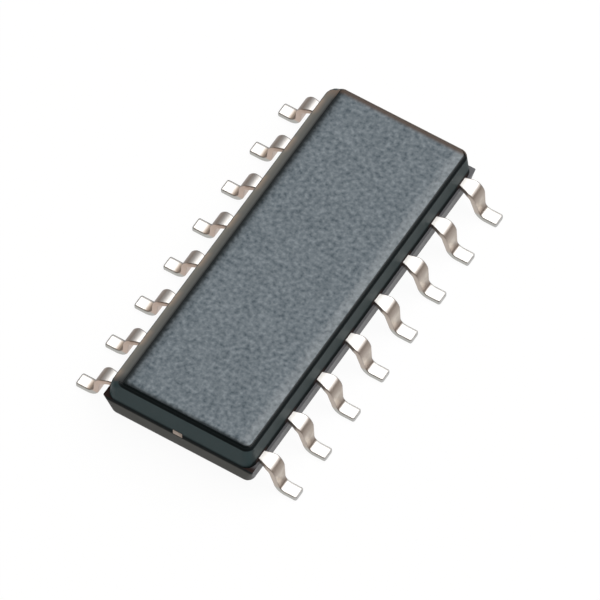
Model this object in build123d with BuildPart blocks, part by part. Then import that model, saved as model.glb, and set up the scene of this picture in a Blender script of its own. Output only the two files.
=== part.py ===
from build123d import *
from math import radians, tan
import os

# Decade counter chip: a sixteen-lead surface-mount package, built as its separate pieces.
# X runs across the package and Y along it. Lead 1 is at +Y on the -X side, beside the chamfer.
# Z is up and the solder feet stand on Z = 0. Sizes are in millimetres, angles in degrees.

# Moulded body
body_length = 9.9
body_width = 3.95
lower_half_width = 4.07
body_thickness = 1.45
standoff = 0.15
upper_draft = 6
lower_side_draft = 9
lower_end_draft = 7
upper_corner_radius = 0.28
parting_corner_radius = 0.04
underside_corner_radius = 0.25
top_edge_radius = 0.12
bottom_edge_radius = 0.18
index_chamfer_width = 0.34
index_chamfer_depth = 0.28
chamfer_edge_radius = 0.15
ejector_mark_diameter = 0.9
ejector_mark_spacing = 5.6
ejector_mark_depth = 0.03

# Leads outside the body
lead_pitch = 1.27
lead_thickness = 0.15
lead_foot_width = 0.34
lead_shoulder_width = 0.45
lead_neck_width = 0.29
neck_length = 0.27
shoulder_length = 0.38
foot_length = 0.525
leg_lean = 9
upper_bend_radius = 0.22
lower_bend_radius = 0.17
toe_corner_radius = 0.05

# Lead frame inside the body
paddle_width = 1.9
paddle_length = 2.9
paddle_corner_radius = 0.12
paddle_downset = 0.2
ramp_length = 0.25
ramp_distance = 0.15
tie_bar_width = 0.25
finger_gap = 0.2

# Die, its adhesive and its bond wires
die_width = 1.3
die_length = 1.6
die_thickness = 0.25
adhesive_thickness = 0.02
adhesive_margin = 0.06
pad_inset = 0.08
wire_diameter = 0.026
wire_loop_height = 0.15
stitch_length = 0.07
stitch_inset = 0.12
ball_diameter = 0.065
ball_height = 0.02

# Cuts run past the faces that they open by this much
overrun = 0.5

right_angle = 90
wire_sides = 6

# Finger elbows as shares of the half body width, from the middle lead to the corner lead
finger_elbow_shares = (0.8, 0.8, 0.78, 0.63)
# Finger tips as shares of the half paddle width and half paddle length, each with the gap added
finger_tip_shares = ((1.0, 0.27), (1.0, 0.79), (0.74, 1.06), (0.365, 1.06))
# Bond pads as shares of the half die width and half die length, each less the inset
pad_shares = ((1.0, 0.2), (1.0, 0.72), (0.72, 1.0), (0.24, 1.0))

# Levels and faces that the pieces share
leads_per_quarter = len(finger_tip_shares)
leads_per_side = 2 * leads_per_quarter
wall_x = body_width / 2
end_y = body_length / 2
top_z = standoff + body_thickness
parting_z = standoff + body_thickness / 2
frame_top_z = parting_z + lead_thickness / 2
frame_bottom_z = parting_z - lead_thickness / 2
paddle_top_z = frame_top_z - paddle_downset
paddle_bottom_z = frame_bottom_z - paddle_downset
die_bottom_z = paddle_top_z + adhesive_thickness
die_top_z = die_bottom_z + die_thickness
top_half_width = wall_x - body_thickness / 2 * tan(radians(upper_draft))
underside_width = lower_half_width - body_thickness * tan(radians(lower_side_draft))
underside_length = body_length - body_thickness * tan(radians(lower_end_draft))

# Corners of the bent lead, on the middle of its thickness
knee_x = wall_x + shoulder_length
ankle_x = knee_x + frame_bottom_z * tan(radians(leg_lean))
toe_x = ankle_x + foot_length
bend_shift = lead_thickness / 2 * tan(radians((right_angle - leg_lean) / 2))
foot_taper_z = lead_thickness + lower_bend_radius
shoulder_taper_z = frame_bottom_z - upper_bend_radius

os.makedirs("parts", exist_ok=True)


def strip_outline(centre_points, width):
    """Corners of a strip of even width along a bent centre line."""
    points = [Vector(*point) for point in centre_points]
    runs = [(after - before).normalized() for before, after in zip(points, points[1:])]
    left_side = []
    right_side = []
    for here, run_in, run_out in zip(points, runs[:1] + runs, runs + runs[-1:]):
        across = Vector(0, 0, 1).cross((run_in + run_out).normalized())
        mitre = across * (width / 2 / across.dot(Vector(0, 0, 1).cross(run_in)))
        left_side.append(here + mitre)
        right_side.append(here - mitre)
    return [(corner.X, corner.Y) for corner in left_side + right_side[::-1]]


def lead_place(number):
    """Side of the package, row position and place from the middle of lead 1 to lead 16."""
    side = -1 if number <= leads_per_side else 1
    row = number - 1 if side < 0 else 2 * leads_per_side - number
    place_y = ((leads_per_side - 1) / 2 - row) * lead_pitch
    along = 1 if place_y > 0 else -1
    from_middle = leads_per_quarter - 1 - row if along > 0 else row - leads_per_quarter
    return side, along, place_y, from_middle


def finger_points(number):
    """Centre line of a lead's finger inside the body: wall, elbow and tip."""
    side, along, place_y, from_middle = lead_place(number)
    elbow_x = wall_x * finger_elbow_shares[from_middle]
    tip_share_x, tip_share_y = finger_tip_shares[from_middle]
    tip_x = (paddle_width / 2 + finger_gap) * tip_share_x
    tip_y = (paddle_length / 2 + finger_gap) * tip_share_y
    return (side * wall_x, place_y), (side * elbow_x, place_y), (side * tip_x, along * tip_y)


# Leads: a strip bent into a gull wing outside, with a flat finger inside
leads = []
for number in range(1, 2 * leads_per_side + 1):
    side, along, place_y, from_middle = lead_place(number)
    with BuildPart() as lead:
        # Side view of the bent strip, from the body wall to the toe
        with BuildSketch(Plane.XZ.offset(-place_y)):
            with BuildLine():
                upper = FilletPolyline(
                    (side * wall_x, frame_top_z),
                    (side * (knee_x + bend_shift), frame_top_z),
                    (side * (ankle_x + bend_shift), lead_thickness),
                    (side * toe_x, lead_thickness),
                    radius=[upper_bend_radius + lead_thickness, lower_bend_radius],
                )
                lower = FilletPolyline(
                    (side * wall_x, frame_bottom_z),
                    (side * (knee_x - bend_shift), frame_bottom_z),
                    (side * (ankle_x - bend_shift), 0),
                    (side * toe_x, 0),
                    radius=[upper_bend_radius, lower_bend_radius + lead_thickness],
                )
                Line(upper @ 0, lower @ 0)
                Line(upper @ 1, lower @ 1)
            make_face()
        extrude(amount=lead_shoulder_width / 2, both=True)
        # Front view: the leg narrows from the shoulder to the foot
        with BuildSketch(Plane.YZ):
            with BuildLine():
                Polyline(
                    (place_y - lead_foot_width / 2, 0),
                    (place_y - lead_foot_width / 2, foot_taper_z),
                    (place_y - lead_shoulder_width / 2, shoulder_taper_z),
                    (place_y - lead_shoulder_width / 2, frame_top_z),
                    (place_y + lead_shoulder_width / 2, frame_top_z),
                    (place_y + lead_shoulder_width / 2, shoulder_taper_z),
                    (place_y + lead_foot_width / 2, foot_taper_z),
                    (place_y + lead_foot_width / 2, 0),
                    close=True,
                )
            make_face()
        extrude(amount=toe_x + overrun, both=True, mode=Mode.INTERSECT)
        # Top view: the neck widens from the body wall to the shoulder
        with BuildSketch(Plane.XY):
            with BuildLine():
                Polyline(
                    (side * wall_x, place_y - lead_neck_width / 2),
                    (side * (wall_x + neck_length), place_y - lead_shoulder_width / 2),
                    (side * (toe_x + overrun), place_y - lead_shoulder_width / 2),
                    (side * (toe_x + overrun), place_y + lead_shoulder_width / 2),
                    (side * (wall_x + neck_length), place_y + lead_shoulder_width / 2),
                    (side * wall_x, place_y + lead_neck_width / 2),
                    close=True,
                )
            make_face()
        extrude(amount=top_z, mode=Mode.INTERSECT)
        # Rounded corners of the toe
        toe_edges = lead.edges().filter_by(Axis.Z).sort_by(Axis.X, reverse=side < 0)[-2:]
        fillet(toe_edges, toe_corner_radius)
        # Finger that runs from the wall to the edge of the die paddle
        with BuildSketch(Plane.XY.offset(frame_bottom_z)):
            with BuildLine():
                Polyline(*strip_outline(finger_points(number), lead_neck_width), close=True)
            make_face()
        extrude(amount=lead_thickness)
    lead.part.label = f"lead_{number}"
    leads.append(lead)

# Die paddle, set below the leads, with a tie bar that rises to the parting plane at each end
with BuildPart() as die_paddle:
    with BuildSketch(Plane.XY.offset(paddle_bottom_z)):
        RectangleRounded(paddle_width, paddle_length, paddle_corner_radius)
    extrude(amount=lead_thickness)
    ramp_start_y = paddle_length / 2 + ramp_distance
    ramp_end_y = ramp_start_y + ramp_length
    with BuildSketch(Plane.YZ):
        with BuildLine():
            Polyline(
                (0, paddle_bottom_z),
                (ramp_start_y, paddle_bottom_z),
                (ramp_end_y, frame_bottom_z),
                (end_y, frame_bottom_z),
                (end_y, frame_top_z),
                (ramp_end_y, frame_top_z),
                (ramp_start_y, paddle_top_z),
                (0, paddle_top_z),
                close=True,
            )
        make_face()
        mirror(about=Plane.YZ)
    extrude(amount=tie_bar_width / 2, both=True)
die_paddle.part.label = "die_paddle"

# Adhesive film between the paddle and the die
with BuildPart() as die_adhesive:
    with BuildSketch(Plane.XY.offset(paddle_top_z)):
        Rectangle(die_width + 2 * adhesive_margin, die_length + 2 * adhesive_margin)
    extrude(amount=adhesive_thickness)
die_adhesive.part.label = "die_adhesive"

# Silicon die
with BuildPart() as die:
    with BuildSketch(Plane.XY.offset(die_bottom_z)):
        Rectangle(die_width, die_length)
    extrude(amount=die_thickness)
die.part.label = "die"

# Bond wires: a ball on the die pad, a rise, a span and a stitch flat on the finger
bond_wires = []
for number in range(1, 2 * leads_per_side + 1):
    side, along, place_y, from_middle = lead_place(number)
    wall_point, elbow_point, tip_point = (Vector(*point) for point in finger_points(number))
    pad_share_x, pad_share_y = pad_shares[from_middle]
    pad_x = side * (die_width / 2 - pad_inset) * pad_share_x
    pad_y = along * (die_length / 2 - pad_inset) * pad_share_y
    landing = tip_point + (elbow_point - tip_point).normalized() * stitch_inset
    heading = (landing - Vector(pad_x, pad_y)).normalized()
    stitch_start = landing - heading * stitch_length
    stitch_z = frame_top_z + wire_diameter / 2
    pad_plane = Plane((pad_x, pad_y, die_top_z), x_dir=(-heading.Y, heading.X, 0), z_dir=(0, 0, 1))
    with BuildPart() as bond_wire:
        with BuildSketch(pad_plane):
            RegularPolygon(ball_diameter / 2, wire_sides, major_radius=False)
        extrude(amount=ball_height)
        with BuildLine() as wire_path:
            Polyline(
                (pad_x, pad_y, die_top_z),
                (pad_x, pad_y, die_top_z + wire_loop_height),
                (stitch_start.X, stitch_start.Y, stitch_z),
                (landing.X, landing.Y, stitch_z),
            )
        with BuildSketch(pad_plane) as wire_section:
            RegularPolygon(wire_diameter / 2, wire_sides, major_radius=False)
        sweep(path=wire_path.line, transition=Transition.RIGHT)
    bond_wire.part.label = f"bond_wire_{number}"
    bond_wires.append(bond_wire)

# Moulded body: two drafted halves that meet at the parting plane, moulded round every insert
with BuildPart() as moulded_body:
    with BuildSketch(Plane.XY.offset(parting_z)):
        RectangleRounded(body_width, body_length, upper_corner_radius)
    extrude(amount=body_thickness / 2, taper=upper_draft)
    # The lower half is a little wider and has sharper corners, so a narrow ledge shows at the parting line
    with BuildSketch(Plane.XY.offset(parting_z)):
        RectangleRounded(lower_half_width, body_length, parting_corner_radius)
    with BuildSketch(Plane.XY.offset(standoff)):
        RectangleRounded(underside_width, underside_length, underside_corner_radius)
    loft()
    # Rounded edges of the top and bottom faces
    fillet(moulded_body.faces().sort_by(Axis.Z)[-1].edges(), top_edge_radius)
    fillet(moulded_body.faces().sort_by(Axis.Z)[0].edges(), bottom_edge_radius)
    # Index chamfer along the upper edge beside leads 1 to 8
    chamfer_top_x = index_chamfer_width - top_half_width
    chamfer_foot_x = -top_half_width - index_chamfer_depth * tan(radians(upper_draft))
    chamfer_run = chamfer_top_x - chamfer_foot_x
    with BuildSketch(Plane.XZ):
        with BuildLine():
            Polyline(
                (chamfer_top_x + chamfer_run, top_z + index_chamfer_depth),
                (chamfer_foot_x - chamfer_run, top_z - 2 * index_chamfer_depth),
                (chamfer_foot_x - chamfer_run, top_z + index_chamfer_depth),
                close=True,
            )
        make_face()
    extrude(amount=end_y + overrun, both=True, mode=Mode.SUBTRACT)
    fillet(moulded_body.faces().sort_by(Axis.Z)[-1].edges().sort_by(Axis.X)[0], chamfer_edge_radius)
    # Shallow round marks that the ejector pins leave on the underside
    with BuildSketch(Plane.XY.offset(standoff)):
        with GridLocations(0, ejector_mark_spacing, 1, 2):
            Circle(ejector_mark_diameter / 2)
    extrude(amount=ejector_mark_depth, mode=Mode.SUBTRACT)
    # Seats of the embedded pieces
    for insert in [die_paddle, die_adhesive, die] + leads + bond_wires:
        add(insert.part, mode=Mode.SUBTRACT)
moulded_body.part.label = "moulded_body"

for piece in [moulded_body, die_paddle, die_adhesive, die] + leads + bond_wires:
    export_step(piece.part, f"parts/{piece.part.label}.step")
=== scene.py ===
"""Looks of a decade counter chip in a sixteen-lead surface-mount package."""

import logging
import math
from abc import ABC, abstractmethod
from dataclasses import dataclass, field
from enum import Enum
from typing import Any, ClassVar

import bmesh
import bpy
from mathutils import Matrix, Vector


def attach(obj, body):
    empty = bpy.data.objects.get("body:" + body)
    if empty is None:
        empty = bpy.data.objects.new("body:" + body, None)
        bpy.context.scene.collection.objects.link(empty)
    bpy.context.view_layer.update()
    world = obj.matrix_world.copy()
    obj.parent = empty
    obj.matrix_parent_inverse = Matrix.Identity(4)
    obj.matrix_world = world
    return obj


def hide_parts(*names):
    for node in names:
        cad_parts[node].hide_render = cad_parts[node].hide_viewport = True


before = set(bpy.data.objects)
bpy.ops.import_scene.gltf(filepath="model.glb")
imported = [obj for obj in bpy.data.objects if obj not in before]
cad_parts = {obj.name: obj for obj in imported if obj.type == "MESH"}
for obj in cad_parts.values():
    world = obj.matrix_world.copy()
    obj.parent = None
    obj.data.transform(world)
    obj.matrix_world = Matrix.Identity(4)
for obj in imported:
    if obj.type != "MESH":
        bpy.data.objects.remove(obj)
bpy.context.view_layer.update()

Colour = tuple[float, float, float]
MM = 0.001

# Sizes that the finishes and the leads share, in millimetres.
LEAD_PITCH = 1.27
PARTING_Z = 0.875
TOP_Z = 1.6

log = logging.getLogger("chip")


class Slot(Enum):
    """Material slots of the record."""

    MOULD_COMPOUND = "mould_compound"
    TIN_PLATE = "tin_plate"
    FRAME_METAL = "frame_metal"
    ADHESIVE = "adhesive"
    SILICON = "silicon"
    GOLD_WIRE = "gold_wire"


@dataclass(frozen=True)
class Step:
    """A soft step between two limits, and how strong it is."""

    low: float
    high: float
    strength: float = 1.0


class Value:
    """An output of a node, written with in sums and products."""

    def __init__(self, graph: "Graph", socket: bpy.types.NodeSocket) -> None:
        """Wraps an output of a node in a tree."""
        self.graph = graph
        self.socket = socket

    def _join(self, operation: str, first: Any, second: Any) -> "Value":
        """Joins two terms with a maths node.

        Args:
            operation: The name of the operation.
            first: A value or number.
            second: A value or number.

        Returns:
            The result, a vector if one of the terms is.
        """
        terms = [term for term in (first, second) if isinstance(term, Value)]
        vector = any(term.socket.type == "VECTOR" for term in terms)
        kind = "ShaderNodeVectorMath" if vector else "ShaderNodeMath"
        return self.graph.node(kind, {"operation": operation}, {0: first, 1: second})[0]

    def __add__(self, other: Any) -> "Value":
        """Sum of this and another term."""
        return self._join("ADD", self, other)

    def __radd__(self, other: Any) -> "Value":
        """Sum of another term and this."""
        return self._join("ADD", other, self)

    def __sub__(self, other: Any) -> "Value":
        """This less another term."""
        return self._join("SUBTRACT", self, other)

    def __rsub__(self, other: Any) -> "Value":
        """Another term less this."""
        return self._join("SUBTRACT", other, self)

    def __mul__(self, other: Any) -> "Value":
        """Product of this and another term."""
        return self._join("MULTIPLY", self, other)

    def __rmul__(self, other: Any) -> "Value":
        """Product of another term and this."""
        return self._join("MULTIPLY", other, self)

    def __truediv__(self, other: Any) -> "Value":
        """This over another term."""
        return self._join("DIVIDE", self, other)

    def __rtruediv__(self, other: Any) -> "Value":
        """Another term over this."""
        return self._join("DIVIDE", other, self)

    def __neg__(self) -> "Value":
        """This with its sign turned round."""
        return self._join("SUBTRACT", 0.0, self)

    def __abs__(self) -> "Value":
        """This without its sign."""
        return self._join("ABSOLUTE", self, 0.0)

    def sign(self) -> "Value":
        """Sign of this: 1, 0 or -1."""
        return self._join("SIGN", self, 0.0)

    def fraction(self) -> "Value":
        """What this has after its whole number, from 0 to 1."""
        return self._join("FRACT", self, 0.0)

    def cross(self, other: "Value") -> "Value":
        """Cross product of this vector and another."""
        return self._join("CROSS_PRODUCT", self, other)

    def dot(self, other: Any) -> "Value":
        """Dot product of this vector and another, which may be three plain numbers."""
        made = self.graph.node("ShaderNodeVectorMath", {"operation": "DOT_PRODUCT"}, {0: self, 1: other})
        return made["Value"]

    def parts(self) -> tuple["Value", "Value", "Value"]:
        """X, Y and Z of this vector."""
        made = self.graph.node("ShaderNodeSeparateXYZ", {}, {0: self})
        return made["X"], made["Y"], made["Z"]

    def _ease(self, step: Step, start: float, end: float) -> "Value":
        """Eases from one number to another.

        Args:
            step: The limits that it eases between.
            start: The number at the low limit.
            end: The number at the high limit.

        Returns:
            The eased value.
        """
        made = self.graph.node(
            "ShaderNodeMapRange",
            {"interpolation_type": "SMOOTHSTEP"},
            {"Value": self, "From Min": step.low, "From Max": step.high, "To Min": start, "To Max": end},
        )
        return made["Result"]

    def rise(self, step: Step) -> "Value":
        """Eases from 0 up to a step's strength between its limits."""
        return self._ease(step, 0.0, step.strength)

    def fall(self, step: Step) -> "Value":
        """Eases from a step's strength down to 0 between its limits."""
        return self._ease(step, step.strength, 0.0)

    def mix(self, first: Any, second: Any) -> "Value":
        """Mixes two numbers by this value, the first at 0 and the second at 1."""
        return self * (second - first) + first

    def blend(self, first: Any, second: Any) -> "Value":
        """Mixes two colours by this value.

        Args:
            first: The colour at 0.
            second: The colour at 1.

        Returns:
            The mixed colour.
        """
        made = self.graph.node(
            "ShaderNodeMix",
            {"data_type": "RGBA"},
            {"Factor_Float": self, "A_Color": first, "B_Color": second},
        )
        return made["Result_Color"]


class Made:
    """A node that was made, whose outputs are read as values."""

    def __init__(self, graph: "Graph", node: bpy.types.Node) -> None:
        """Wraps a node of a tree."""
        self.graph = graph
        self.node = node

    def __getitem__(self, key: str | int) -> Value:
        """Output by number, identifier or name."""
        return Value(self.graph, Graph.find(self.node.outputs, key))


class Graph:
    """A shader or geometry tree that is written as text."""

    def __init__(self, tree: bpy.types.NodeTree) -> None:
        """Wraps an empty tree."""
        self.tree = tree

    @staticmethod
    def find(sockets: Any, key: str | int) -> bpy.types.NodeSocket:
        """Finds a socket.

        Args:
            sockets: A node's inputs or outputs.
            key: Number, identifier or name.

        Returns:
            The socket.
        """
        if isinstance(key, int):
            return sockets[key]
        return next((socket for socket in sockets if socket.identifier == key), None) or sockets[key]

    def node(self, kind: str, settings: dict | None = None, sockets: dict | None = None) -> Made:
        """Makes a node.

        Args:
            kind: The node's type.
            settings: Its settings, which are set first.
            sockets: Values, numbers or colours of its inputs.

        Returns:
            The node.
        """
        made = self.tree.nodes.new(kind)
        for name, setting in (settings or {}).items():
            setattr(made, name, setting)
        for key, given in (sockets or {}).items():
            self.feed(self.find(made.inputs, key), given)
        return Made(self, made)

    def feed(self, socket: bpy.types.NodeSocket, given: Any) -> None:
        """Links or sets an input.

        Args:
            socket: The input.
            given: A value to link, or a constant.
        """
        if isinstance(given, Value):
            self.tree.links.new(given.socket, socket)
        elif socket.type == "RGBA":
            socket.default_value = (*given, 1.0)
        elif socket.type == "VECTOR" and isinstance(given, (int, float)):
            socket.default_value = (given, given, given)
        else:
            socket.default_value = given

    def noise(self, place: Value, waves: float, layers: float = 2.0, fineness: float = 0.5) -> Value:
        """Soft noise from 0 to 1, with waves per millimetre, finer layers and the strength of those."""
        sockets = {"Vector": place, "Scale": waves, "Detail": layers, "Roughness": fineness}
        return self.node("ShaderNodeTexNoise", {}, sockets)["Fac"]

    def bump(self, height: Value, depth: float) -> Value:
        """Normal of a surface with a relief, whose height from 0 to 1 is so many millimetres deep."""
        sockets = {"Strength": 1.0, "Distance": depth * MM, "Height": height}
        return self.node("ShaderNodeBump", {}, sockets)["Normal"]


class Finish(ABC):
    """A finish that paints its own material."""

    name: ClassVar[str]
    slot: ClassVar[Slot]

    @abstractmethod
    def paint(self, graph: Graph) -> dict[str, Any]:
        """Writes the finish's nodes.

        Args:
            graph: The material's tree.

        Returns:
            The sockets of the surface.
        """

    def material(self) -> bpy.types.Material:
        """Makes the material, once.

        Returns:
            The material.
        """
        known = bpy.data.materials.get(self.name)
        if known:
            return known
        made = bpy.data.materials.new(self.name)
        made.use_nodes = True
        made.node_tree.nodes.clear()
        graph = Graph(made.node_tree)
        surface = graph.node("ShaderNodeBsdfPrincipled", {}, self.paint(graph))
        graph.node("ShaderNodeOutputMaterial", {}, {"Surface": surface["BSDF"]})
        return made

    @staticmethod
    def place(graph: Graph) -> tuple[Value, Value]:
        """Place of a point in millimetres, and the normal there."""
        made = graph.node("ShaderNodeTexCoord")
        return made["Object"] * (1 / MM), made["Normal"]


@dataclass(frozen=True)
class MouldCompound(Finish):
    """Black filled epoxy with a spark-eroded top face and smoother drafted walls, with painted highlight,
    shade and reflection on its edges, walls and chamfer.
    """

    name: ClassVar[str] = "mould_compound_matt"
    slot: ClassVar[Slot] = Slot.MOULD_COMPOUND

    top_colour: Colour = (0.063, 0.085, 0.102)
    speck_colour: Colour = (0.185, 0.218, 0.242)
    # Painted highlight: the top face's right rim is painted lighter, as light from the right falls on it.
    rim_shading_colour: Colour = (0.154, 0.179, 0.196)
    rim_highlight_speck_colour: Colour = (0.287, 0.317, 0.337)
    # The walls are painted in lit and shaded copies of one tone by facing, sides and ends, upper and lower
    # half; the lower half's sides are painted lighter, a painted reflection of the white table.
    side_wall_colour: Colour = (0.019, 0.033, 0.0355)
    end_wall_colour: Colour = (0.022, 0.0455, 0.0505)
    # Painted shade: near-black for the dark that the rounded edges reflect, used along the top face's
    # edges, the parting line and the chamfer's lip and near end; a brown painted shade on the far edge.
    edge_shade_colour: Colour = (0.002, 0.005, 0.006)
    far_edge_shade_colour: Colour = (0.076, 0.053, 0.040)
    lower_side_colour: Colour = (0.102, 0.103, 0.110)
    lower_end_colour: Colour = (0.015, 0.015, 0.007)
    # Chamfer tones, partly painted light: lighter towards its foot, with a painted reflection of each lead
    # beside it.
    slope_colour: Colour = (0.082, 0.087, 0.084)
    slope_foot_lit_colour: Colour = (0.218, 0.208, 0.176)
    slope_lead_reflection_colour: Colour = (0.365, 0.280, 0.212)
    slope_far_colour: Colour = (0.185, 0.130, 0.095)
    # Painted shade at the roots of the leads and on the ledge at the parting line.
    contact_shade_colour: Colour = (0.024, 0.014, 0.013)

    specular: float = 0.18
    top_roughness: float = 0.6
    wall_roughness: float = 0.48
    edge_roughness: float = 0.16
    line_roughness: float = 1.0
    lower_roughness: float = 0.40
    roughness_drift: float = 0.1

    grains_per_mm: float = 9.3
    grain_depth: float = 0.010
    grain_contrast: float = 1.9
    grain_peaks: float = 4.8
    clouds_per_mm: float = 2.0
    cloud_contrast: float = 0.45
    ragged_edge: float = 0.06

    # Which way a face looks, by a part of its normal.
    top_tilt: Step = Step(0.92, 0.975)
    edge_tilt: Step = Step(0.45, 0.8)
    far_tilt: Step = Step(0.2, 0.6)
    end_tilt: Step = Step(0.3, 0.7)
    shelf_tilt: Step = Step(0.6, 0.9)
    under_tilt: Step = Step(0.5, 0.9)
    slope_facing: tuple[float, float, float] = (-0.602, 0.0, 0.798)
    slope_match: Step = Step(0.988, 0.999)

    # Where the top face's painted highlight and painted shade lie, in millimetres.
    top_band: Step = Step(-0.135, -0.105)
    right_rim_highlight: Step = Step(1.48, 1.72, 0.58)
    left_edge_shade: Step = Step(-1.545, -1.41, 0.92)
    left_shade: Step = Step(-1.5, -1.26, 0.36)
    near_edge_shade: Step = Step(-4.8, -4.68, 0.85)
    far_edge_shade: Step = Step(4.64, 4.77, 0.9)

    # Where the chamfer's painted shade, painted light and painted lead reflections lie, from its upper
    # edge and along it, in millimetres.
    slope_lip: Step = Step(0.01, 0.09)
    slope_foot: Step = Step(0.08, 0.34)
    slope_near: Step = Step(-4.85, -4.45, 0.9)
    slope_far: Step = Step(4.4, 4.8, 0.7)
    slope_lead_shift: float = 0.21

    # Where the walls' painted shades and the underside's tone lie, in millimetres, and for a lead in
    # pitches.
    lower_half: Step = Step(-0.004, 0.0)
    line_reach: Step = Step(0.03, 0.145)
    side_line_rise: float = 0.065
    end_line_rise: float = -0.03
    shelf_left: Step = Step(-1.95, -1.9)
    shelf_near: Step = Step(-4.9, -4.72)
    contact_height: Step = Step(0.97, 1.05)
    mark_floor: Step = Step(0.16, 0.175)
    lead_reach: Step = Step(0.12, 0.24)

    def paint(self, graph: Graph) -> dict[str, Any]:
        """Writes the finish's nodes.

        Args:
            graph: The material's tree.

        Returns:
            The sockets of the surface.
        """
        at, facing = self.place(graph)
        across, length, height = at.parts()
        _, along, up = facing.parts()
        grain = graph.noise(at, self.grains_per_mm)
        cloud = graph.noise(at, self.clouds_per_mm)
        uneven = grain - 0.5
        specks = self.grain_contrast * uneven * (1.0 + self.grain_peaks * uneven * uneven)
        specks = specks + self.cloud_contrast * (cloud - 0.5) + 0.5
        matt = specks.blend(self.top_colour, self.speck_colour)

        high = (height - TOP_Z).rise(self.top_band)
        top = up.rise(self.top_tilt) * high
        slope = facing.dot(self.slope_facing).rise(self.slope_match)
        under = (-up).rise(self.under_tilt)
        lower = (PARTING_Z - height).rise(self.lower_half)
        ends = abs(along).rise(self.end_tilt)
        row = (length + self.slope_lead_shift * slope) / LEAD_PITCH
        by_lead = abs(row.fraction() - 0.5).fall(self.lead_reach)
        # Painted shade: a dark line along the parting line, standing in for the shadow at the ledge there.
        off_line = height - PARTING_Z - ends.mix(self.side_line_rise, self.end_line_rise)
        parting_line_shade = abs(off_line).fall(self.line_reach) * lower.mix(1.0, ends)
        # Painted shade on the ledge under the parting line, except where it is lit, and at the roots of
        # the leads.
        lit = across.rise(self.shelf_left) * length.rise(self.shelf_near)
        shelf_shade = lower * up.rise(self.shelf_tilt) * (1.0 - lit)
        contact_shade = by_lead * height.fall(self.contact_height) * (1.0 - ends) * (1.0 - lower)

        # Painted light: the walls' tone changes with which way they face and with the half they are in.
        walls = ends.blend(self.side_wall_colour, self.end_wall_colour)
        walls = lower.blend(walls, ends.blend(self.lower_side_colour, self.lower_end_colour))
        walls = under.blend(walls, height.rise(self.mark_floor).blend(matt, self.top_colour))
        walls = parting_line_shade.blend(walls, self.edge_shade_colour)
        walls = (shelf_shade + contact_shade).blend(walls, self.contact_shade_colour)
        # Painted shade: the rounded top edges are painted near-black, brown at the far edge.
        walls = high.blend(walls, along.rise(self.far_tilt).blend(self.edge_shade_colour, self.far_edge_shade_colour))
        # The chamfer's painted shade, painted light and painted lead reflections.
        walls = slope.blend(walls, self.slope_tone(length, TOP_Z - height, by_lead))
        # Painted highlight: the speckled colour of the lighter right rim.
        rim = specks.blend(self.rim_shading_colour, self.rim_highlight_speck_colour)
        face = self.face_tone(across, length, self.ragged_edge * uneven, matt, rim)

        rough = lower.mix(self.wall_roughness, under.mix(self.lower_roughness, self.top_roughness))
        rough = (parting_line_shade + shelf_shade + contact_shade).mix(rough, self.line_roughness)
        edge = up.rise(self.edge_tilt).mix(self.line_roughness, self.edge_roughness)
        rough = (high * (1.0 - slope)).mix(rough, edge)
        rough = top.mix(rough, self.top_roughness)
        return {
            "Base Color": top.blend(walls, face),
            "Roughness": rough + self.roughness_drift * cloud,
            "Specular IOR Level": self.specular,
            "Normal": graph.bump(grain * (top + under), self.grain_depth),
        }

    def face_tone(self, across: Value, length: Value, ragged: Value, matt: Value, rim: Value) -> Value:
        """Finds the tone of the top face, with a painted highlight along its right rim and painted shade
        along its left, near and far edges.

        Args:
            across: How far right a point is, in millimetres.
            length: How far back a point is, in millimetres.
            ragged: How far the grain pushes the edges of the tones.
            matt: The colour of the middle.
            rim: The colour of the painted highlight along the right side.

        Returns:
            The colour.
        """
        tone = (across + ragged).rise(self.right_rim_highlight).blend(matt, rim)
        # Painted shade darkens the top face towards its left and near edges, and browns it at its far
        # edge.
        tone = (across + ragged).fall(self.left_edge_shade).blend(tone, self.edge_shade_colour)
        tone = across.fall(self.left_shade).blend(tone, self.edge_shade_colour)
        tone = (length + ragged).fall(self.near_edge_shade).blend(tone, self.edge_shade_colour)
        return length.rise(self.far_edge_shade).blend(tone, self.far_edge_shade_colour)

    def slope_tone(self, length: Value, drop: Value, by_lead: Value) -> Value:
        """Finds the tone of the chamfer: painted shade at its upper lip and near end, painted light
        towards its foot with a painted reflection of each lead beside it, and browner and lighter towards
        its far end.

        Args:
            length: How far back a point is, in millimetres.
            drop: How far below the top face it is, in millimetres.
            by_lead: 1 beside a lead and 0 between two.

        Returns:
            The colour.
        """
        foot = by_lead.blend(self.slope_foot_lit_colour, self.slope_lead_reflection_colour)
        tone = drop.rise(self.slope_foot).blend(self.slope_colour, foot)
        tone = drop.rise(self.slope_lip).blend(self.edge_shade_colour, tone)
        tone = length.fall(self.slope_near).blend(tone, self.edge_shade_colour)
        return length.rise(self.slope_far).blend(tone, self.slope_far_colour)


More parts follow.
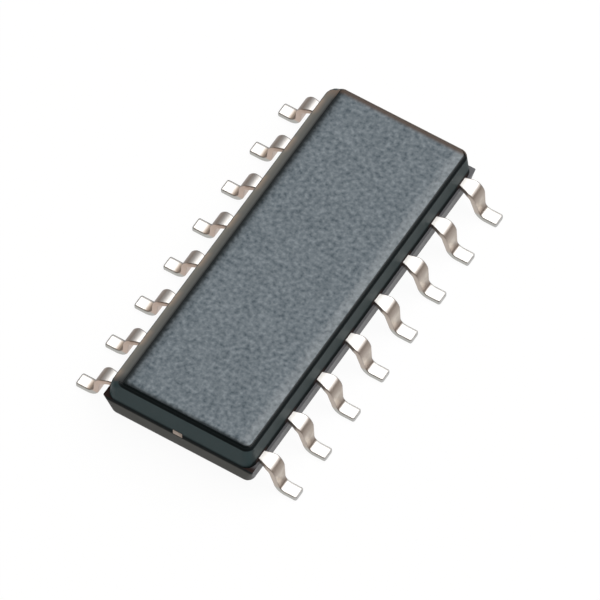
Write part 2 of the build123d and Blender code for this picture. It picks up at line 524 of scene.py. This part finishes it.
@dataclass(frozen=True)
class TinPlate(Finish):
    """Dull tin on the leads in painted light and shade: bright flats painted as a highlight, warmer legs
    and bends painted as shade and warm reflection, and grey flanks on the feet painted as shade.
    """

    name: ClassVar[str] = "tin_plate_dull"
    slot: ClassVar[Slot] = Slot.TIN_PLATE

    # Painted highlight: the flats are painted near white; the tones below are painted shade and reflection
    # on the same tin.
    flat_highlight_colour: Colour = (0.96, 0.95, 0.93)
    # The legs' tan, which drifts between light and dark at random, is painted darker and warmer than the
    # flats: painted shade and a painted reflection of a warm floor.
    light_colour: Colour = (0.56, 0.507, 0.452)
    dark_colour: Colour = (0.446, 0.39, 0.338)
    # Painted shade on the bends, darker on the left leads, on the left leads' knees and heels, and on the
    # ankles.
    bend_shade_colour: Colour = (0.38, 0.325, 0.285)
    left_bend_shade_colour: Colour = (0.245, 0.205, 0.18)
    left_knee_shade_colour: Colour = (0.44, 0.43, 0.42)
    heel_shade_colour: Colour = (0.50, 0.42, 0.35)
    ankle_shade_colour: Colour = (0.21, 0.17, 0.145)
    # Painted light and shade on the flanks for what they reflect: grey on the feet, pink-tan on the legs
    # and on the left leads' flanks and inner faces.
    flank_shading_colour: Colour = (0.46, 0.455, 0.43)
    leg_flank_shading_colour: Colour = (0.48, 0.415, 0.365)
    left_flank_shading_colour: Colour = (0.51, 0.40, 0.335)
    # Painted shade on the rounded edges, the feet's far rims and the toes: grey on the feet, darker on the
    # left leads and darkest above the feet.
    rim_shading_colour: Colour = (0.48, 0.475, 0.465)
    left_rim_shading_colour: Colour = (0.30, 0.295, 0.29)
    leg_rim_shading_colour: Colour = (0.20, 0.19, 0.18)

    roughness: float = 0.36
    flat_roughness: float = 0.55
    roughness_drift: float = 0.1
    clouds_per_mm: float = 4.0
    cloud_layers: float = 3.0
    cloud_fineness: float = 0.6
    cloud_step: Step = Step(0.35, 0.65)
    pits_per_mm: float = 26.0
    pit_depth: float = 0.0012

    # Which way a face looks, by a part of its normal.
    flat_tilt: Step = Step(0.66, 0.92)
    left_flat_tilt: Step = Step(0.8, 0.98)
    flank_tilt: Step = Step(0.5, 0.85)
    inside_tilt: Step = Step(0.3, 0.7)
    far_rim_tilt: Step = Step(0.12, 0.45)
    near_rim_tilt: Step = Step(0.12, 0.45, 0.25)

    # Where a painted tone lies, in millimetres, and for the foot's far rim in pitches.
    right_side: Step = Step(-0.5, 0.5)
    knee_reach: Step = Step(2.05, 2.25)
    heel_reach: Step = Step(-2.76, -2.65)
    toe_reach: Step = Step(2.955, 2.99)
    foot_height: Step = Step(0.16, 0.26)
    ankle_height: Step = Step(0.18, 0.32, 0.7)
    leg_z: float = 0.5
    bend_reach: Step = Step(0.04, 0.24)
    foot_rim: Step = Step(0.076, 0.102, 0.85)

    def paint(self, graph: Graph) -> dict[str, Any]:
        """Writes the finish's nodes.

        Args:
            graph: The material's tree.

        Returns:
            The sockets of the surface.
        """
        at, facing = self.place(graph)
        across, length, height = at.parts()
        outward, along, up = facing.parts()
        cloud = graph.noise(at, self.clouds_per_mm, self.cloud_layers, self.cloud_fineness)
        pits = graph.noise(at, self.pits_per_mm)

        right = across.rise(self.right_side)
        left = 1.0 - right
        flat = right.mix(up.rise(self.left_flat_tilt), up.rise(self.flat_tilt))
        flank = abs(along).rise(self.flank_tilt)
        foot = height.fall(self.foot_height)
        inside = outward.rise(self.inside_tilt) * left
        knee = left * (1.0 - foot) * (-across).rise(self.knee_reach)
        heel = left * foot * across.rise(self.heel_reach)
        # Painted shade along the rounded edges, the feet's far rims and the toes.
        near_rim = (-along).rise(self.near_rim_tilt) * (1.0 - foot)
        rim = (along.rise(self.far_rim_tilt) + near_rim) * (1.0 - flank)
        aside = (length / LEAD_PITCH).fraction() - 0.5
        toe = foot * (aside.rise(self.foot_rim) * flat + abs(across).rise(self.toe_reach))

        # Painted shade and warm reflection: tan legs, with darker bends and ankles.
        leg = cloud.rise(self.cloud_step).blend(self.dark_colour, self.light_colour)
        bend = right.blend(self.left_bend_shade_colour, self.bend_shade_colour)
        bend = height.fall(self.ankle_height).blend(bend, self.ankle_shade_colour)
        leg = abs(height - self.leg_z).rise(self.bend_reach).blend(leg, bend)
        # Painted highlight on the flats, with painted shade on the left leads' knees and heels.
        tops = knee.blend(self.flat_highlight_colour, self.left_knee_shade_colour)
        plated = flat.blend(leg, heel.blend(tops, self.heel_shade_colour))
        # Painted light and shade on the left leads' inner faces and on the flanks.
        plated = inside.blend(plated, self.left_flank_shading_colour)
        side = right.blend(self.left_flank_shading_colour, self.leg_flank_shading_colour)
        plated = flank.blend(plated, foot.blend(side, self.flank_shading_colour))
        # Painted shade on those rims and toes.
        edge = right.blend(self.left_rim_shading_colour, self.rim_shading_colour)
        plated = (rim + toe).blend(plated, foot.blend(self.leg_rim_shading_colour, edge))
        return {
            "Base Color": plated,
            "Metallic": 1.0,
            "Roughness": flat.mix(self.roughness, self.flat_roughness) + self.roughness_drift * cloud,
            "Normal": graph.bump(pits, self.pit_depth),
        }


@dataclass(frozen=True)
class CloudedMetal(Finish):
    """A metal whose tone and roughness drift a little from place to place."""

    light_colour: Colour
    dark_colour: Colour
    roughness: float
    clouds_per_mm: float
    cloud_layers: float = 2.0
    cloud_fineness: float = 0.5
    cloud_step: Step = Step(0.3, 0.7)
    roughness_drift: float = 0.1
    metallic: float = 1.0

    def paint(self, graph: Graph) -> dict[str, Any]:
        """Writes the finish's nodes.

        Args:
            graph: The material's tree.

        Returns:
            The sockets of the surface.
        """
        at, _ = self.place(graph)
        cloud = graph.noise(at, self.clouds_per_mm, self.cloud_layers, self.cloud_fineness)
        return {
            "Base Color": cloud.rise(self.cloud_step).blend(self.dark_colour, self.light_colour),
            "Metallic": self.metallic,
            "Roughness": self.roughness + self.roughness_drift * cloud,
        }


@dataclass(frozen=True)
class FrameMetal(CloudedMetal):
    """Bare stamped copper alloy of the die paddle and its tie bars."""

    name: ClassVar[str] = "copper_alloy_stamped"
    slot: ClassVar[Slot] = Slot.FRAME_METAL

    light_colour: Colour = (0.352, 0.290, 0.245)
    dark_colour: Colour = (0.230, 0.180, 0.147)
    roughness: float = 0.36
    clouds_per_mm: float = 6.0
    cloud_layers: float = 3.0
    cloud_fineness: float = 0.6
    roughness_drift: float = 0.15


@dataclass(frozen=True)
class SilverEpoxy(CloudedMetal):
    """Silver-filled adhesive film under the die."""

    name: ClassVar[str] = "silver_epoxy"
    slot: ClassVar[Slot] = Slot.ADHESIVE

    light_colour: Colour = (0.66, 0.65, 0.63)
    dark_colour: Colour = (0.42, 0.41, 0.39)
    roughness: float = 0.5
    clouds_per_mm: float = 40.0
    cloud_fineness: float = 0.6
    cloud_step: Step = Step(0.4, 0.6)
    metallic: float = 0.6


@dataclass(frozen=True)
class GoldWire(CloudedMetal):
    """Drawn gold of the bond wires."""

    name: ClassVar[str] = "gold_drawn"
    slot: ClassVar[Slot] = Slot.GOLD_WIRE

    light_colour: Colour = (0.95, 0.70, 0.30)
    dark_colour: Colour = (0.78, 0.53, 0.20)
    roughness: float = 0.2
    clouds_per_mm: float = 20.0


@dataclass(frozen=True)
class SiliconFace(Finish):
    """Polished silicon with the faint blocks of its circuit."""

    name: ClassVar[str] = "silicon_polished"
    slot: ClassVar[Slot] = Slot.SILICON

    dark_colour: Colour = (0.11, 0.12, 0.15)
    light_colour: Colour = (0.25, 0.26, 0.32)
    roughness: float = 0.16
    roughness_drift: float = 0.1
    metallic: float = 0.5
    blocks_per_mm: float = 6.0
    block_step: Step = Step(0.1, 0.5)

    def paint(self, graph: Graph) -> dict[str, Any]:
        """Writes the finish's nodes.

        Args:
            graph: The material's tree.

        Returns:
            The sockets of the surface.
        """
        at, _ = self.place(graph)
        settings = {"distance": "CHEBYCHEV", "voronoi_dimensions": "3D"}
        cells = graph.node("ShaderNodeTexVoronoi", settings, {"Vector": at, "Scale": self.blocks_per_mm})
        blocks = cells["Distance"].rise(self.block_step)
        return {
            "Base Color": blocks.blend(self.light_colour, self.dark_colour),
            "Metallic": self.metallic,
            "Roughness": self.roughness + self.roughness_drift * blocks,
        }


@dataclass(frozen=True)
class LeadSizes:
    """Sizes of the leads in millimetres and degrees, as the construction has them."""

    per_side: int = 8
    thickness: float = 0.15
    wall_x: float = 1.975
    neck_width: float = 0.29
    shoulder_width: float = 0.45
    foot_width: float = 0.34
    neck_length: float = 0.27
    neck_shares: tuple[float, ...] = (0.0, 0.2, 0.4)
    shoulder_length: float = 0.38
    foot_length: float = 0.525
    leg_lean: float = 9.0
    upper_bend_radius: float = 0.22
    lower_bend_radius: float = 0.17
    bend_steps: int = 12
    toe_corner_radius: float = 0.05
    toe_steps: int = 6
    edge_radius: float = 0.035
    slack: float = 1e-5
    half_paddle: tuple[float, float] = (0.95, 1.45)
    finger_gap: float = 0.2
    elbow_shares: tuple[float, ...] = (0.8, 0.8, 0.78, 0.63)
    tip_shares: tuple[tuple[float, float], ...] = ((1.0, 0.27), (1.0, 0.79), (0.74, 1.06), (0.365, 1.06))


@dataclass(frozen=True)
class StripPoint:
    """A point of a strip's centre line in millimetres, with the strip's width and thickness there."""

    place: Vector
    width: float
    thickness: float


@dataclass
class StripSweep:
    """Geometry Nodes tree that sweeps a rounded strip along a bent centre line."""

    WIDTH: ClassVar[str] = "strip_width"
    DEPTH: ClassVar[str] = "strip_depth"
    CENTRE: ClassVar[str] = "strip_centre"
    ACROSS: ClassVar[str] = "strip_across"
    OUTWARD: ClassVar[str] = "strip_outward"
    INPUTS: ClassVar[dict[str, str]] = {
        "Geometry": "NodeSocketGeometry",
        "Width": "NodeSocketFloat",
        "Thickness": "NodeSocketFloat",
        "Edge Radius": "NodeSocketFloat",
        "Material": "NodeSocketMaterial",
    }

    edge_steps: int = 4
    sharp_angle: float = 50.0
    tree: bpy.types.NodeTree = field(init=False)

    def __post_init__(self) -> None:
        """Builds the tree."""
        self.tree = bpy.data.node_groups.new("strip_sweep", "GeometryNodeTree")
        for name, kind in self.INPUTS.items():
            self.tree.interface.new_socket(name, in_out="INPUT", socket_type=kind)
        self.tree.interface.new_socket("Geometry", in_out="OUTPUT", socket_type="NodeSocketGeometry")
        graph = Graph(self.tree)
        given = graph.node("NodeGroupInput")
        line = self._line(graph, given)
        sockets = {"Curve": line, "Profile Curve": self._outline(graph, given), "Fill Caps": True}
        strip = graph.node("GeometryNodeCurveToMesh", {}, sockets)["Mesh"]
        strip = self._shade(graph, self._fit(graph, given, strip))
        strip = graph.node("GeometryNodeRealizeInstances", {}, {"Geometry": strip})["Geometry"]
        sockets = {"Geometry": strip, "Material": given["Material"]}
        strip = graph.node("GeometryNodeSetMaterial", {}, sockets)["Geometry"]
        graph.node("NodeGroupOutput", {}, {"Geometry": strip})

    def _line(self, graph: Graph, given: Made) -> Value:
        """Turns the given edges into a curve whose points keep their place and directions.

        Args:
            graph: The tree.
            given: The tree's inputs.

        Returns:
            The curve.
        """
        line = graph.node("GeometryNodeMeshToCurve", {}, {"Mesh": given["Geometry"]})["Curve"]
        line = graph.node("GeometryNodeSetCurveNormal", {"mode": "Z_UP"}, {"Curve": line})["Curve"]
        spot = graph.node("GeometryNodeInputPosition")["Position"]
        across = graph.node("GeometryNodeInputNormal")["Normal"]
        outward = graph.node("GeometryNodeInputTangent")["Tangent"].cross(across)
        settings = {"data_type": "FLOAT_VECTOR", "domain": "POINT"}
        for name, vector in ((self.CENTRE, spot), (self.ACROSS, across), (self.OUTWARD, outward)):
            sockets = {"Geometry": line, "Name": name, "Value": vector}
            line = graph.node("GeometryNodeStoreNamedAttribute", settings, sockets)["Geometry"]
        return line

    def _outline(self, graph: Graph, given: Made) -> Value:
        """Draws the strip's cross section.

        Args:
            graph: The tree.
            given: The tree's inputs.

        Returns:
            The closed curve.
        """
        sockets = {"Width": given["Width"], "Height": given["Thickness"]}
        outline = graph.node("GeometryNodeCurvePrimitiveQuadrilateral", {"mode": "RECTANGLE"}, sockets)
        sockets = {"Curve": outline["Curve"], "Count": self.edge_steps, "Radius": given["Edge Radius"]}
        return graph.node("GeometryNodeFilletCurve", {"mode": "POLY"}, sockets)["Curve"]

    def _fit(self, graph: Graph, given: Made, strip: Value) -> Value:
        """Moves the strip's sides to the width and thickness of each point.

        Args:
            graph: The tree.
            given: The tree's inputs.
            strip: The swept strip.

        Returns:
            The fitted strip.
        """
        spot = graph.node("GeometryNodeInputPosition")["Position"]
        from_centre = spot - self._named(graph, self.CENTRE, "FLOAT_VECTOR")
        shifts = []
        for way, size, drawn in (
            (self.ACROSS, self.WIDTH, "Width"),
            (self.OUTWARD, self.DEPTH, "Thickness"),
        ):
            heading = self._named(graph, way, "FLOAT_VECTOR")
            wider = self._named(graph, size) - given[drawn]
            shifts.append(heading * (from_centre.dot(heading).sign() * 0.5 * wider))
        sockets = {"Geometry": strip, "Offset": shifts[0] + shifts[1]}
        strip = graph.node("GeometryNodeSetPosition", {}, sockets)["Geometry"]
        for name in (self.WIDTH, self.DEPTH, self.CENTRE, self.ACROSS, self.OUTWARD):
            sockets = {"Geometry": strip, "Name": name}
            strip = graph.node("GeometryNodeRemoveAttribute", {}, sockets)["Geometry"]
        return strip

    def _shade(self, graph: Graph, strip: Value) -> Value:
        """Smooths the strip and keeps its sharp edges.

        Args:
            graph: The tree.
            strip: The fitted strip.

        Returns:
            The shaded strip.
        """
        smooth = graph.node("GeometryNodeSetShadeSmooth", {"domain": "FACE"}, {"Geometry": strip})
        angle = graph.node("GeometryNodeInputMeshEdgeAngle")["Unsigned Angle"]
        crease = graph.node(
            "FunctionNodeCompare",
            {"data_type": "FLOAT", "operation": "GREATER_THAN"},
            {"A": angle, "B": math.radians(self.sharp_angle)},
        )
        sockets = {"Geometry": smooth["Geometry"], "Selection": crease["Result"], "Shade Smooth": False}
        return graph.node("GeometryNodeSetShadeSmooth", {"domain": "EDGE"}, sockets)["Geometry"]

    @staticmethod
    def _named(graph: Graph, name: str, kind: str = "FLOAT") -> Value:
        """Reads an attribute by its name."""
        made = graph.node("GeometryNodeInputNamedAttribute", {"data_type": kind}, {"Name": name})
        return made["Attribute"]

    def sweep(
        self, name: str, points: list[StripPoint], sizes: LeadSizes, material: bpy.types.Material
    ) -> bpy.types.Object:
        """Sweeps one strip.

        Args:
            name: The piece's name.
            points: The centre line, in millimetres.
            sizes: The strip's full width, thickness and edge radius.
            material: The strip's material.

        Returns:
            The piece, a plain mesh in metres.
        """
        line = bpy.data.meshes.new(name + "_line")
        edges = [(number, number + 1) for number in range(len(points) - 1)]
        line.from_pydata([point.place for point in points], edges, [])
        for label, values in (
            (self.WIDTH, [point.width for point in points]),
            (self.DEPTH, [point.thickness for point in points]),
        ):
            line.attributes.new(label, "FLOAT", "POINT").data.foreach_set("value", values)
        source = bpy.data.objects.new(name + "_line", line)
        bpy.context.scene.collection.objects.link(source)
        modifier = source.modifiers.new("strip", "NODES")
        modifier.node_group = self.tree
        inputs = {
            "Width": sizes.shoulder_width,
            "Thickness": sizes.thickness,
            "Edge Radius": sizes.edge_radius,
            "Material": material,
        }
        for item in self.tree.interface.items_tree:
            if item.in_out == "INPUT" and item.name in inputs:
                modifier[item.identifier] = inputs[item.name]
        source.update_tag()
        graph = bpy.context.evaluated_depsgraph_get()
        mesh = bpy.data.meshes.new_from_object(source.evaluated_get(graph))
        source.modifiers.clear()
        bpy.data.objects.remove(source)
        bpy.data.meshes.remove(line)
        mesh.name = name
        mesh.transform(Matrix.Scale(MM, 4))
        piece = bpy.data.objects.new(name, mesh)
        bpy.context.scene.collection.objects.link(piece)
        return piece


def stand_in(piece: bpy.types.Object, node: str) -> None:
    """Lets a piece of the scene stand in for a node of the construction, and reports it.

    Args:
        piece: The piece.
        node: The node's name.
    """
    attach(piece, "root")
    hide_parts(node)
    log.info("%s: %d faces", piece.name, len(piece.data.polygons))


@dataclass
class GullWingLead:
    """One lead: a finger inside the body, a shoulder, a leg and a solder foot."""

    number: int
    sizes: LeadSizes = LeadSizes()
    piece: bpy.types.Object | None = None

    def rounded(self, corners: list[tuple[Vector, float]]) -> list[Vector]:
        """Rounds the corners of a line.

        Args:
            corners: The line's corners, each with its radius.

        Returns:
            The points of the rounded line.
        """
        steps = self.sizes.bend_steps
        points = [corners[0][0]]
        for (before, _), (here, radius), (after, _) in zip(corners, corners[1:], corners[2:]):
            run_in = (here - before).normalized()
            run_out = (after - here).normalized()
            turn = run_in.angle(run_out)
            inward = (run_out - run_in * run_in.dot(run_out)).normalized()
            start = here - run_in * radius * math.tan(turn / 2)
            for swing in (turn * step / steps for step in range(steps + 1 if radius else 1)):
                points.append(start + radius * (run_in * math.sin(swing) + inward * (1 - math.cos(swing))))
        return points + [corners[-1][0]]

    def width(self, place: Vector) -> float:
        """Finds how wide the lead is at a point of its centre line.

        Args:
            place: The point, in millimetres.

        Returns:
            The width, in millimetres.
        """
        sizes = self.sizes
        neck = min(max((abs(place.x) - sizes.wall_x) / sizes.neck_length, 0.0), 1.0)
        taper_top = PARTING_Z - sizes.thickness / 2 - sizes.upper_bend_radius
        taper_foot = sizes.thickness + sizes.lower_bend_radius
        leg = min(max((taper_top - place.z) / (taper_top - taper_foot), 0.0), 1.0)
        shoulder = sizes.neck_width + neck * (sizes.shoulder_width - sizes.neck_width)
        return shoulder + leg * (sizes.foot_width - sizes.shoulder_width)

    @staticmethod
    def trim(distance: float, radius: float) -> float:
        """What a rounded end takes off both sides of a strip together, at a distance from that end."""
        into = max(radius - distance, 0.0)
        return 2 * (radius - math.sqrt(radius**2 - into**2))

    def centre_line(self) -> list[StripPoint]:
        """Finds the lead's centre line from the finger's tip to the toe.

        Returns:
            The points, in millimetres.
        """
        sizes = self.sizes
        side = -1 if self.number <= sizes.per_side else 1
        row = self.number - 1 if side < 0 else 2 * sizes.per_side - self.number
        y = ((sizes.per_side - 1) / 2 - row) * LEAD_PITCH
        along = 1 if y > 0 else -1
        quarter = sizes.per_side // 2
        place = quarter - 1 - row if along > 0 else row - quarter
        tip_x = (sizes.half_paddle[0] + sizes.finger_gap) * sizes.tip_shares[place][0]
        tip_y = (sizes.half_paddle[1] + sizes.finger_gap) * sizes.tip_shares[place][1]
        low_z = sizes.thickness / 2
        knee_x = sizes.wall_x + sizes.shoulder_length
        ankle_x = knee_x + (PARTING_Z - low_z) * math.tan(math.radians(sizes.leg_lean))
        toe_x = ankle_x + sizes.foot_length - sizes.slack
        neck_xs = [sizes.wall_x + sizes.neck_length * share for share in sizes.neck_shares]
        corners = [
            (Vector((side * tip_x, along * tip_y, PARTING_Z)), 0.0),
            (Vector((side * sizes.wall_x * sizes.elbow_shares[place], y, PARTING_Z)), 0.0),
            *((Vector((side * x, y, PARTING_Z)), 0.0) for x in neck_xs),
            (Vector((side * knee_x, y, PARTING_Z)), sizes.upper_bend_radius + low_z),
            (Vector((side * ankle_x, y, low_z)), sizes.lower_bend_radius + low_z),
            (Vector((side * (toe_x - sizes.toe_corner_radius), y, low_z)), 0.0),
        ]
        points = [StripPoint(spot, self.width(spot), sizes.thickness) for spot in self.rounded(corners)]
        for step in range(1, sizes.toe_steps + 1):
            away = sizes.toe_corner_radius * (1 - math.sin(math.pi / 2 * step / sizes.toe_steps))
            spot = Vector((side * (toe_x - away), y, low_z))
            width = self.width(spot) - self.trim(away, sizes.toe_corner_radius)
            points.append(StripPoint(spot, width, sizes.thickness - self.trim(away, sizes.edge_radius)))
        return points

    def build(self, sweep: StripSweep, finish: Finish) -> None:
        """Sweeps the lead in its finish."""
        name = f"gull_wing_{self.number}"
        self.piece = sweep.sweep(name, self.centre_line(), self.sizes, finish.material())

    def dress(self, finish: Finish) -> None:
        """Puts the lead in its node's place."""
        stand_in(self.piece, f"lead_{self.number}")


@dataclass
class MouldedBody:
    """The moulded block, with even normals on its flats and smooth round edges."""

    node: str = "moulded_body"
    merge_distance: float = 2e-8
    flat_area: float = 4e-8
    smooth_angle: float = 40.0
    normal_steps: int = 500
    level_step: float = 2e-6
    piece: bpy.types.Object | None = None

    def build(self) -> None:
        """Copies and merges the construction's block, and gives it smooth normals."""
        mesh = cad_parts[self.node].data.copy()
        mesh.name = "mould_block"
        work = bmesh.new()
        work.from_mesh(mesh)
        bmesh.ops.remove_doubles(work, verts=work.verts, dist=self.merge_distance)
        bmesh.ops.recalc_face_normals(work, faces=work.faces)
        normals = self.corner_normals(work)
        work.to_mesh(mesh)
        work.free()
        mesh.shade_smooth()
        mesh.normals_split_custom_set(normals)
        self.piece = bpy.data.objects.new("mould_block", mesh)
        bpy.context.scene.collection.objects.link(self.piece)

    def flats(self, work: bmesh.types.BMesh) -> list[bool]:
        """Finds which faces are part of a large flat.

        Args:
            work: The block's faces.

        Returns:
            Whether each face is, in the order of the faces.
        """
        areas: dict[tuple[int, ...], float] = {}
        planes = []
        for face in work.faces:
            level = face.normal.dot(face.calc_center_median())
            heading = (round(part * self.normal_steps) for part in face.normal)
            planes.append((*heading, round(level / self.level_step)))
            areas[planes[-1]] = areas.get(planes[-1], 0.0) + face.calc_area()
        return [areas[plane] > self.flat_area for plane in planes]

    def corner_normals(self, work: bmesh.types.BMesh) -> list[Vector]:
        """Finds a normal for each corner, so that flats stay flat and round edges run into them.

        Args:
            work: The block's faces.

        Returns:
            The normals, in the order of the mesh's corners.
        """
        work.faces.index_update()
        flats = self.flats(work)
        limit = math.cos(math.radians(self.smooth_angle))
        normals = []
        for face, flat in zip(work.faces, flats):
            for corner in face.loops:
                near = [other for other in corner.vert.link_faces if other.normal.dot(face.normal) > limit]
                level = [other.normal for other in near if flats[other.index]]
                if flat:
                    normals.append(face.normal.copy())
                elif level:
                    normals.append(max(level, key=face.normal.dot).copy())
                else:
                    total = sum((other.normal * other.calc_area() for other in near), Vector())
                    normals.append(total.normalized())
        return normals

    def dress(self, finish: Finish) -> None:
        """Gives the block its finish and puts it in its node's place.

        Args:
            finish: The block's finish.
        """
        self.piece.data.materials.clear()
        self.piece.data.materials.append(finish.material())
        stand_in(self.piece, self.node)


@dataclass
class SealedCore:
    """What the block seals in: paddle, adhesive, die and bond wires, shown as constructed."""

    wires: int = 16

    def dress(self) -> None:
        """Gives each sealed node its finish."""
        finishes = {"die_paddle": FrameMetal(), "die_adhesive": SilverEpoxy(), "die": SiliconFace()}
        for number in range(1, self.wires + 1):
            finishes[f"bond_wire_{number}"] = GoldWire()
        for node, finish in finishes.items():
            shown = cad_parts[node]
            shown.data.materials.clear()
            shown.data.materials.append(finish.material())
            log.info("%s: %s", node, finish.name)


@dataclass(frozen=True)
class SoftLamp:
    """A flat soft lamp: where it hangs, which way it shines and how bright it is, in metres."""

    name: str
    place: tuple[float, float, float]
    heading: tuple[float, float, float]
    size: tuple[float, float]
    radiance: float

    def hang(self) -> None:
        """Makes the lamp."""
        light = bpy.data.lights.new(self.name, "AREA")
        light.shape = "RECTANGLE"
        light.size, light.size_y = self.size
        light.energy = self.radiance * math.pi * light.size * light.size_y
        lamp = bpy.data.objects.new(self.name, light)
        lamp.location = self.place
        lamp.rotation_euler = Vector(self.heading).to_track_quat("-Z", "Y").to_euler()
        bpy.context.scene.collection.objects.link(lamp)


@dataclass
class Studio:
    """Camera, white table, a wide soft lamp above and a dim one on the left."""

    azimuth: float = 31.4068
    elevation: float = 56.7844
    roll: float = 0.3531
    lens: float = 725.57
    sensor_width: float = 36.0
    clip: tuple[float, float] = (0.01, 10.0)
    distance: float = 280.547
    target: tuple[float, float, float] = (0.4346, -0.2867, 0.8)
    lamps: tuple[SoftLamp, ...] = (
        SoftLamp("key_lamp", (0.1575, 0.15, 0.3), (0.0, 0.0, -1.0), (0.585, 0.42), 2.9),
        SoftLamp("side_lamp", (-0.45, 0.12, 0.16), (1.0, 0.0, 0.0), (0.6, 0.3), 0.6),
    )
    room_colour: Colour = (0.20, 0.165, 0.14)
    table_radius: float = 0.4
    table_sides: int = 64
    table_colour: Colour = (0.9, 0.9, 0.9)
    glow_colour: Colour = (1.0, 1.0, 1.0)
    table_glow: float = 0.95

    def set_camera(self) -> None:
        """Places the camera where the photo was taken from."""
        turn = math.radians(self.azimuth)
        rise = math.radians(self.elevation)
        tip = math.radians(self.roll)
        back = Vector((math.sin(turn) * math.cos(rise), -math.cos(turn) * math.cos(rise), math.sin(rise)))
        level = (-back).cross(Vector((0, 0, 1))).normalized()
        upright = level.cross(-back)
        right = level * math.cos(tip) + upright * math.sin(tip)
        up = upright * math.cos(tip) - level * math.sin(tip)
        spot = (Vector(self.target) + back * self.distance) * MM
        lens = bpy.data.cameras.new("camera")
        lens.sensor_width = self.sensor_width
        lens.lens = self.lens
        lens.clip_start, lens.clip_end = self.clip
        camera = bpy.data.objects.new("camera", lens)
        axes = Matrix((right, up, back)).transposed()
        camera.matrix_world = Matrix.Translation(spot) @ axes.to_4x4()
        bpy.context.scene.collection.objects.link(camera)
        bpy.context.scene.camera = camera

    def set_room(self) -> None:
        """Makes the dim room round the table."""
        world = bpy.data.worlds.new("room")
        world.use_nodes = True
        world.node_tree.nodes.clear()
        graph = Graph(world.node_tree)
        shade = graph.node("ShaderNodeBackground", {}, {"Color": self.room_colour})
        graph.node("ShaderNodeOutputWorld", {}, {"Surface": shade["Background"]})
        bpy.context.scene.world = world

    def table_paint(self) -> bpy.types.Material:
        """Makes the table's white, which glows to the eye and in reflections, and keeps a faint shadow.

        Returns:
            The material.
        """
        paint = bpy.data.materials.new("table_white")
        paint.use_nodes = True
        paint.node_tree.nodes.clear()
        graph = Graph(paint.node_tree)
        ray = graph.node("ShaderNodeLightPath")
        seen = ray["Is Camera Ray"] + ray["Is Glossy Ray"] + ray["Is Transmission Ray"]
        sockets = {"Base Color": self.table_colour, "Roughness": 1.0, "Specular IOR Level": 0.0}
        matt = graph.node("ShaderNodeBsdfPrincipled", {}, sockets)
        glow = graph.node("ShaderNodeEmission", {}, {"Color": self.glow_colour, "Strength": 1.0})
        sockets = {0: seen * self.table_glow, 1: matt["BSDF"], 2: glow["Emission"]}
        mixed = graph.node("ShaderNodeMixShader", {}, sockets)
        graph.node("ShaderNodeOutputMaterial", {}, {"Surface": mixed["Shader"]})
        return paint

    def set_table(self) -> None:
        """Lays the round white table."""
        mesh = bpy.data.meshes.new("table")
        work = bmesh.new()
        bmesh.ops.create_circle(work, cap_ends=True, segments=self.table_sides, radius=self.table_radius)
        work.to_mesh(mesh)
        work.free()
        mesh.materials.append(self.table_paint())
        table = bpy.data.objects.new("table", mesh)
        bpy.context.scene.collection.objects.link(table)

    def build(self) -> None:
        """Sets up the whole studio."""
        self.set_camera()
        for lamp in self.lamps:
            lamp.hang()
        self.set_room()
        self.set_table()
        bpy.context.scene.view_settings.view_transform = "Standard"


def main() -> None:
    """Builds the studio and dresses every piece of the chip."""
    logging.basicConfig(level=logging.INFO, format="%(message)s")
    Studio().build()
    body = MouldedBody()
    body.build()
    body.dress(MouldCompound())
    sweep = StripSweep()
    plate = TinPlate()
    for number in range(1, 2 * LeadSizes().per_side + 1):
        lead = GullWingLead(number)
        lead.build(sweep, plate)
        lead.dress(plate)
    SealedCore().dress()


if __name__ == "__main__":
    main()
